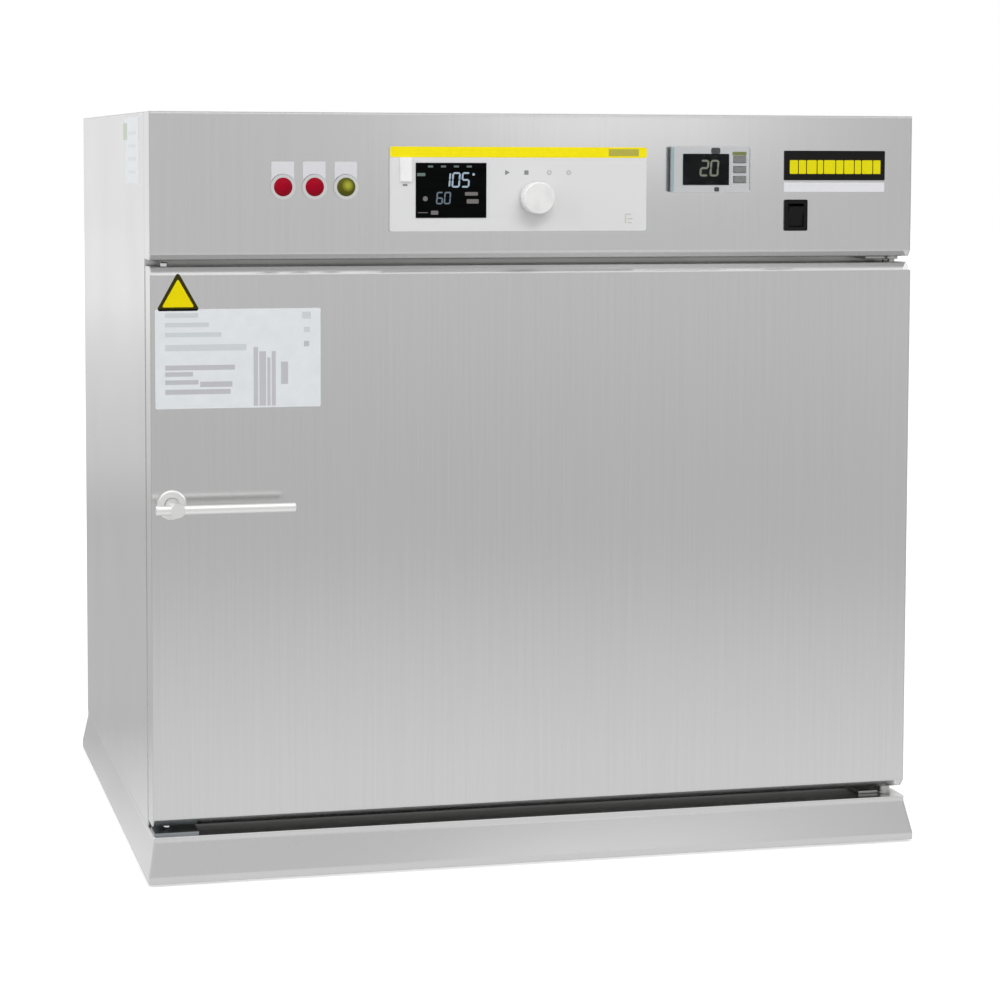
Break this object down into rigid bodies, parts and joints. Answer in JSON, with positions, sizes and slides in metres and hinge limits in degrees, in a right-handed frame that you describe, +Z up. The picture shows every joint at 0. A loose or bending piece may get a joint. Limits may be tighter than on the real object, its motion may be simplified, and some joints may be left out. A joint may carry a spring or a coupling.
{
  "type": "drying oven",
  "caption": "Bench drying oven: stainless cabinet on a flared plinth, insulated hinged door with a rod lock, control box on top, heated chamber with fan and shelves.",
  "frame": {"origin": "on the floor under the middle of the overall box", "axes": "+X to the right of someone facing the door, +Y to the back, +Z up"},
  "size_m": [0.914, 0.857, 0.865],
  "materials": {
    "cabinet_steel": "brushed stainless sheet with a soft sheen",
    "chamber_steel": "bright cold-rolled stainless sheet",
    "zinc_sheet": "galvanised sheet",
    "bright_steel": "polished stainless bar",
    "heater_sheath": "heat-tinted tubular sheath",
    "fan_steel": "pressed stainless",
    "duct_steel": "rolled stainless pipe",
    "motor_alloy": "cast and ribbed",
    "foot_rubber": "moulded",
    "seal_silicone": "extruded silicone",
    "mineral_wool": "pressed fibre batt",
    "panel_plastic": "fine-textured moulding",
    "black_plastic": "moulded",
    "screen": "tinted window",
    "key_plastic": "moulded",
    "clear_cover": "clear polycarbonate",
    "lens_red": "tinted lens",
    "lens_yellow": "tinted lens"
  },
  "bodies": {
    "root": {"side_panel_left": "cabinet_steel", "side_panel_right": "cabinet_steel", "top_cover": "cabinet_steel", "control_fascia": "cabinet_steel", "base_plinth": "cabinet_steel", "chamber_liner": "chamber_steel", "rear_baffle": "chamber_steel", "shelf_rack_left": "chamber_steel", "shelf_rack_right": "chamber_steel", "front_frame": "chamber_steel", "rear_panel": "zinc_sheet", "inner_back_wall": "zinc_sheet", "control_tray": "zinc_sheet", "rod_keepers": "zinc_sheet", "hinge_bracket_upper": "bright_steel", "hinge_bracket_lower": "bright_steel", "temperature_probes": "bright_steel", "rear_screws": "bright_steel", "lamp_bezels": "bright_steel", "ring_heater": "heater_sheath", "exhaust_duct": "duct_steel", "air_inlet": "duct_steel", "fan_motor": "motor_alloy", "power_module": "motor_alloy", "rubber_feet": "foot_rubber", "door_gasket": "seal_silicone", "insulation_jacket": "mineral_wool", "controller_panel": "panel_plastic", "controller_housing": "panel_plastic", "limiter_case": "black_plastic", "switch_bezel": "black_plastic", "mains_gland": "black_plastic", "badge_plate": "black_plastic", "display_window": "screen", "limiter_window": "screen", "lamp_lenses_red": "lens_red", "lamp_lens_yellow": "lens_yellow"},
    "door": {"door_shell": "cabinet_steel", "door_liner": "chamber_steel", "door_insulation": "mineral_wool", "hinge_bushes": "zinc_sheet", "lock_case": "zinc_sheet", "rosette": "bright_steel"},
    "handle": {"handle_lever": "bright_steel", "lock_pinion": "bright_steel"},
    "upper_rod": {"upper_rod": "bright_steel"},
    "lower_rod": {"lower_rod": "bright_steel"},
    "fan": {"fan_wheel": "fan_steel", "fan_shaft": "bright_steel"},
    "shelf_lower": {"shelf_lower": "bright_steel"},
    "shelf_upper": {"shelf_upper": "bright_steel"},
    "dial_shaft": {"encoder_shaft": "bright_steel"},
    "dial": {"dial_knob": "panel_plastic"},
    "rocker": {"rocker": "black_plastic"},
    "limiter_cover": {"limiter_cover": "clear_cover"},
    "limiter_key_1": {"limiter_key_1": "key_plastic"},
    "limiter_key_2": {"limiter_key_2": "key_plastic"},
    "limiter_key_3": {"limiter_key_3": "key_plastic"},
    "usb_cover": {"usb_cover": "panel_plastic"},
    "damper": {"damper_flap": "duct_steel"}
  },
  "joints": [
    {"name": "door_hinge", "type": "hinge", "parent": "root", "child": "door", "pos_m": [0.432, -0.3545, 0.378], "axis": [0, 0, 1], "range_deg": [0, 120]},
    {"name": "handle_turn", "type": "hinge", "parent": "door", "child": "handle", "pos_m": [-0.4275, -0.3715, 0.428], "axis": [0, 1, 0], "range_deg": [0, 90]},
    {"name": "upper_rod_slide", "type": "slide", "parent": "door", "child": "upper_rod", "axis": [0, 0, 1], "range_m": [0, 0.01571]},
    {"name": "lower_rod_slide", "type": "slide", "parent": "door", "child": "lower_rod", "axis": [0, 0, -1], "range_m": [0, 0.01571]},
    {"name": "fan_spin", "type": "hinge", "parent": "root", "child": "fan", "pos_m": [0, 0.1509, 0.381], "axis": [0, 1, 0], "continuous": true},
    {"name": "shelf_lower_slide", "type": "slide", "parent": "root", "child": "shelf_lower", "axis": [0, -1, 0], "range_m": [0, 0.2095]},
    {"name": "shelf_upper_slide", "type": "slide", "parent": "root", "child": "shelf_upper", "axis": [0, -1, 0], "range_m": [0, 0.2095]},
    {"name": "dial_press", "type": "slide", "parent": "root", "child": "dial_shaft", "axis": [0, 1, 0], "range_m": [0, 0.0015], "stiffness_N_per_m": 1500},
    {"name": "dial_turn", "type": "hinge", "parent": "dial_shaft", "child": "dial", "pos_m": [-0.01, -0.374, 0.769], "axis": [0, 1, 0], "continuous": true},
    {"name": "rocker_tilt", "type": "hinge", "parent": "root", "child": "rocker", "pos_m": [0.30575, -0.365, 0.74875], "axis": [-1, 0, 0], "range_deg": [0, 24]},
    {"name": "limiter_cover_hinge", "type": "hinge", "parent": "root", "child": "limiter_cover", "pos_m": [0.1501, -0.3719, 0.7755], "axis": [0, 0, -1], "range_deg": [0, 100]},
    {"name": "usb_cover_hinge", "type": "hinge", "parent": "root", "child": "usb_cover", "pos_m": [-0.1671, -0.3752, 0.7877], "axis": [0, 0, -1], "range_deg": [0, 120]},
    {"name": "damper_turn", "type": "hinge", "parent": "root", "child": "damper", "pos_m": [-0.21, 0.3735, 0.56], "axis": [0, 0, 1], "range_deg": [0, 90]},
    {"name": "limiter_key_1_press", "type": "slide", "parent": "root", "child": "limiter_key_1", "axis": [0, 1, 0], "range_m": [0, 0.0008], "stiffness_N_per_m": 700},
    {"name": "limiter_key_2_press", "type": "slide", "parent": "root", "child": "limiter_key_2", "axis": [0, 1, 0], "range_m": [0, 0.0008], "stiffness_N_per_m": 700},
    {"name": "limiter_key_3_press", "type": "slide", "parent": "root", "child": "limiter_key_3", "axis": [0, 1, 0], "range_m": [0, 0.0008], "stiffness_N_per_m": 700}
  ],
  "couplings": [
    {"joint": "upper_rod_slide", "follows": "handle_turn", "m_per_rad": 0.01},
    {"joint": "lower_rod_slide", "follows": "handle_turn", "m_per_rad": 0.01},
    {"joint": "shelf_lower_slide", "follows": "door_hinge", "m_per_rad": 0.1},
    {"joint": "shelf_upper_slide", "follows": "door_hinge", "m_per_rad": 0.1}
  ]
}
